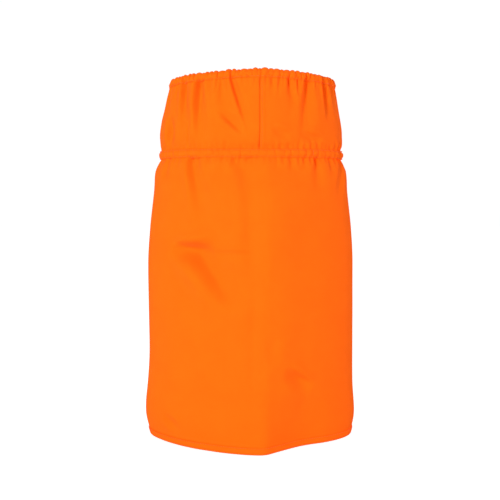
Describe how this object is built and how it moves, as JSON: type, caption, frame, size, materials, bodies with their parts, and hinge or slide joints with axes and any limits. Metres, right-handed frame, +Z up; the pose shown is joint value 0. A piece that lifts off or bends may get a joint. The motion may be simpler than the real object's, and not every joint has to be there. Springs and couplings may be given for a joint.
{
  "type": "chainsaw leg gaiter",
  "caption": "Open pull-on fabric tube for the lower leg, with a gathered elastic cuff, a second elastic casing below it and a padded cut-resistant body down to a plain hem.",
  "frame": {"origin": "centre of the oval hem, on the plane the hem stands on", "axes": "+Z up from the hem to the elastic cuff, the padded front faces -Y, +X towards the side that the front seam leans to"},
  "size_m": [0.2362, 0.1492, 0.4],
  "materials": {
    "shell_twill": "matt woven twill",
    "casing_twill": "matt woven twill",
    "seam_thread": "spun polyester thread",
    "flat_elastic": "ribbed woven elastic",
    "seam_binding": "grosgrain tape",
    "lining_taffeta": "smooth woven lining",
    "protection_knit": "loose warp knit",
    "label_satin": "satin label cloth"
  },
  "bodies": {
    "root": {"yoke_left": "shell_twill", "yoke_right": "shell_twill", "body_front": "shell_twill", "body_back": "shell_twill", "top_casing": "casing_twill", "middle_casing": "casing_twill", "bottom_hem": "casing_twill", "top_elastic": "flat_elastic", "middle_elastic": "flat_elastic", "yoke_lining": "lining_taffeta", "body_lining": "lining_taffeta", "cut_ply_1": "protection_knit", "cut_ply_2": "protection_knit", "cut_ply_3": "protection_knit", "cut_ply_4": "protection_knit", "cut_ply_5": "protection_knit", "cut_ply_6": "protection_knit", "yoke_front_seam_tape": "seam_binding", "yoke_front_seam_thread": "seam_thread", "yoke_back_seam_tape": "seam_binding", "yoke_back_seam_thread": "seam_thread", "body_right_seam_tape": "seam_binding", "body_right_seam_thread": "seam_thread", "body_left_seam_tape": "seam_binding", "body_left_seam_thread": "seam_thread", "top_casing_thread": "seam_thread", "hem_thread": "seam_thread", "middle_casing_upper_thread": "seam_thread", "middle_casing_lower_thread": "seam_thread", "left_elastic_tack": "seam_thread", "right_elastic_tack": "seam_thread", "marking_label": "label_satin"}
  },
  "joints": []
}
